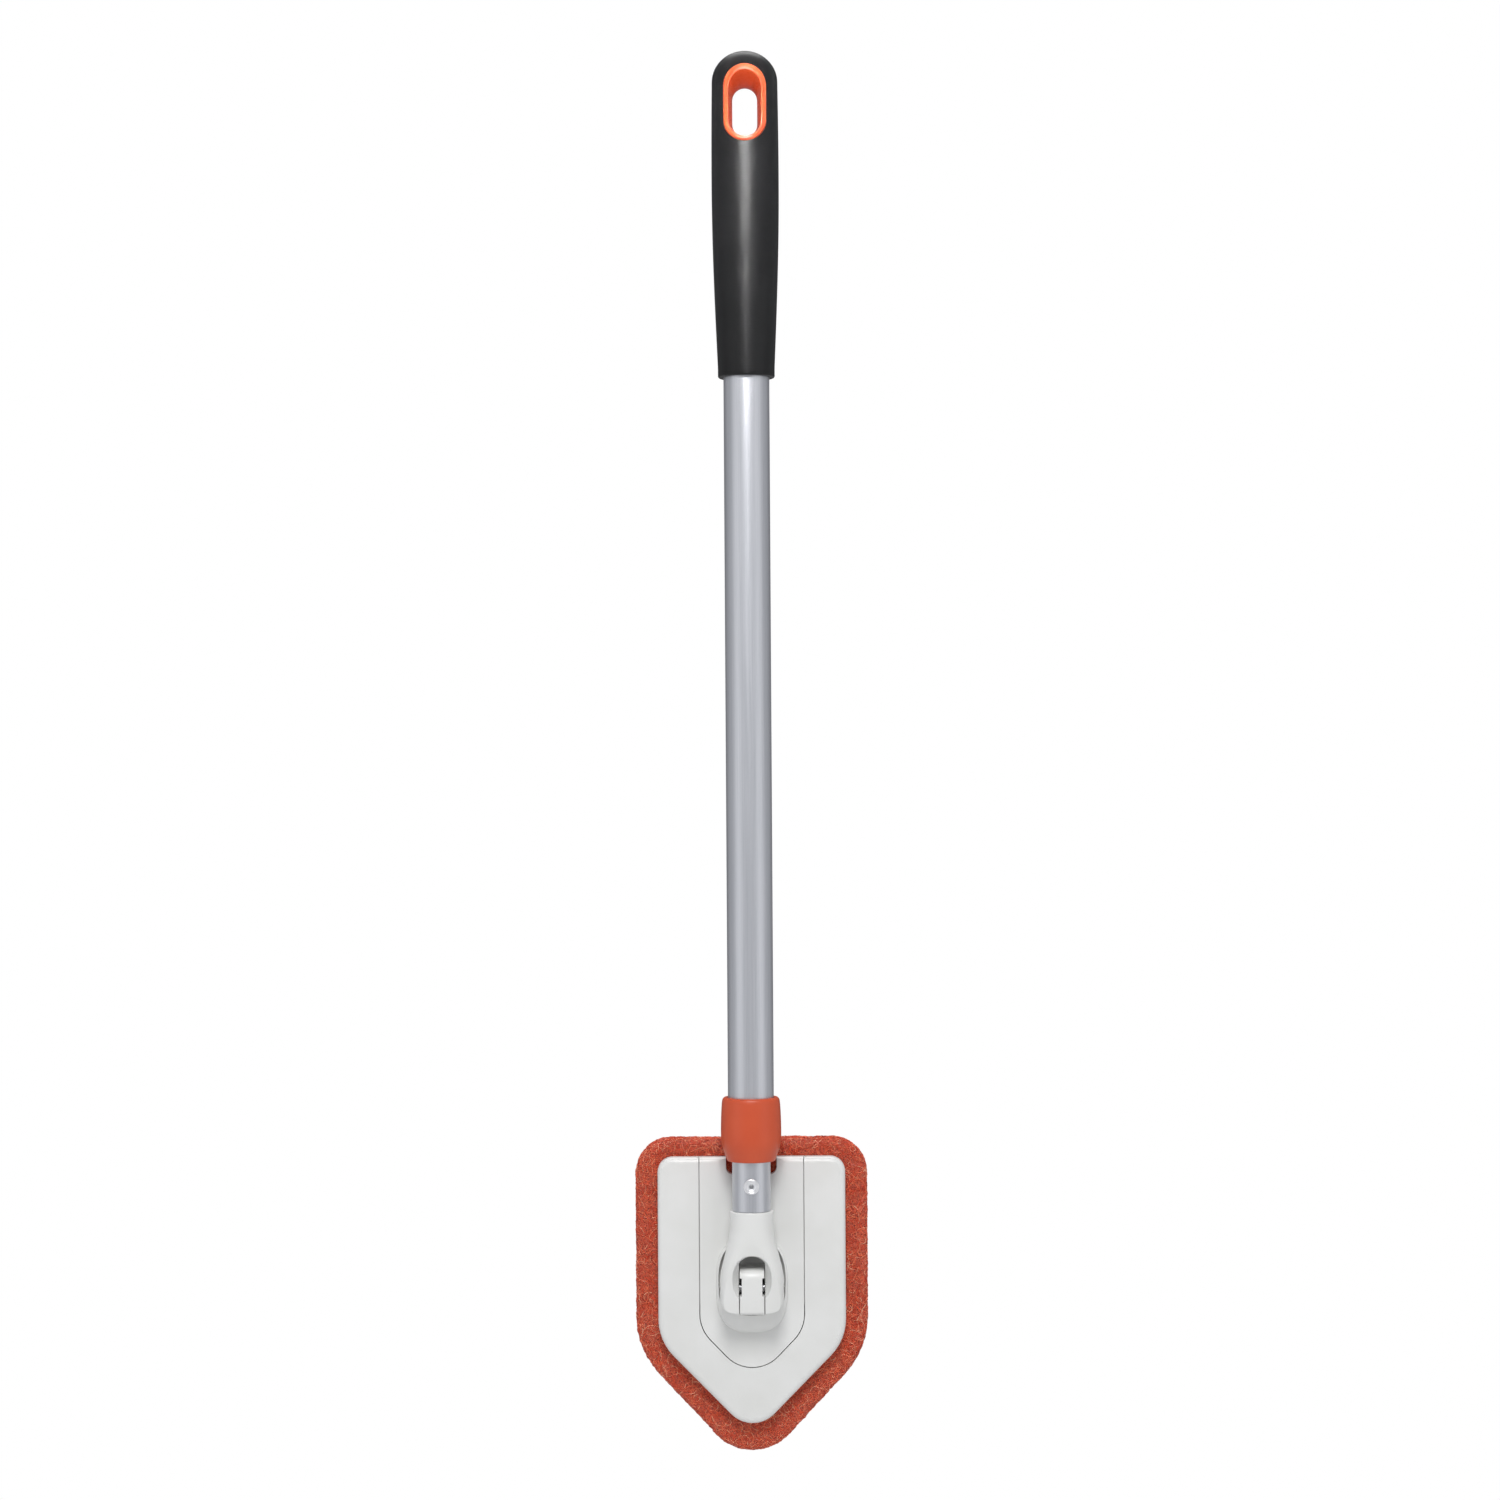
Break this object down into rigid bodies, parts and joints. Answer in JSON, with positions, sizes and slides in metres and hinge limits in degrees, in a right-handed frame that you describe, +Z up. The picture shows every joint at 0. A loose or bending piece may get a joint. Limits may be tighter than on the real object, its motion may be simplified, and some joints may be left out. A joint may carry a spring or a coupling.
{
  "type": "algae scraper",
  "caption": "Extendable pole scraper: soft grip with a hang hole, twist-lock telescopic pole and a pivoting five-sided head with a scouring pad.",
  "frame": {"origin": "where a hook bears in the hang hole: the top of the hole's waist, at mid-depth, on the pole's axis", "axes": "+Z up along the pole from the head to the grip, -Y the side that the neck and the white plate face, +Y the way the scouring pad faces, +X to the right seen from the plate side"},
  "size_m": [0.1104, 0.0503, 0.6597],
  "materials": {
    "soft_black": "matt soft-touch elastomer",
    "orange_plastic": "satin moulded polypropylene",
    "white_plastic": "semi-gloss moulded ABS",
    "grey_plastic": "moulded polypropylene and acetal",
    "satin_aluminium": "satin anodised",
    "pin_steel": "turned",
    "scouring_fibre": "non-woven nylon fibre with abrasive grit",
    "adhesive": "hot-melt film"
  },
  "bodies": {
    "handle": {"grip_sleeve": "soft_black", "grip_core": "grey_plastic", "grip_pin": "pin_steel", "hang_ring_front": "orange_plastic", "hang_ring_back": "orange_plastic", "outer_tube": "satin_aluminium", "lock_ferrule": "grey_plastic"},
    "collet": {"lock_collet": "grey_plastic"},
    "collar": {"lock_collar": "orange_plastic"},
    "pole_guide": {"guide_ring": "white_plastic"},
    "inner_pole": {"guide_plug": "grey_plastic", "inner_tube": "satin_aluminium", "neck_yoke": "white_plastic", "neck_rivet": "satin_aluminium", "rivet_mandrel": "pin_steel", "hinge_pin": "pin_steel", "pin_cap_left": "white_plastic", "pin_cap_right": "white_plastic"},
    "head": {"carrier": "white_plastic"},
    "cassette": {"backing_frame": "white_plastic", "adhesive_layer": "adhesive", "scouring_pad": "scouring_fibre"}
  },
  "joints": [
    {"name": "collet_shift", "type": "slide", "parent": "handle", "child": "collet", "axis": [0, 0, 1], "range_m": [-0.001, 0]},
    {"name": "collar_twist", "type": "hinge", "parent": "collet", "child": "collar", "pos_m": [0, 0, -0.4876], "axis": [0, 0, 1], "range_deg": [-120, 0]},
    {"name": "pole_extend", "type": "slide", "parent": "handle", "child": "pole_guide", "axis": [0, 0, -1], "range_m": [0, 0.406]},
    {"name": "pole_swivel", "type": "hinge", "parent": "pole_guide", "child": "inner_pole", "pos_m": [0, 0, -0.5259], "axis": [0, 0, 1], "continuous": true},
    {"name": "head_tilt", "type": "hinge", "parent": "inner_pole", "child": "head", "pos_m": [0, 0, -0.562], "axis": [-1, 0, 0], "range_deg": [0, 120]},
    {"name": "cassette_release", "type": "slide", "parent": "head", "child": "cassette", "axis": [0, 0, -1], "range_m": [0, 0.06]}
  ],
  "couplings": [
    {"joint": "collar_twist", "follows": "collet_shift", "rad_per_m": 2096.4}
  ]
}
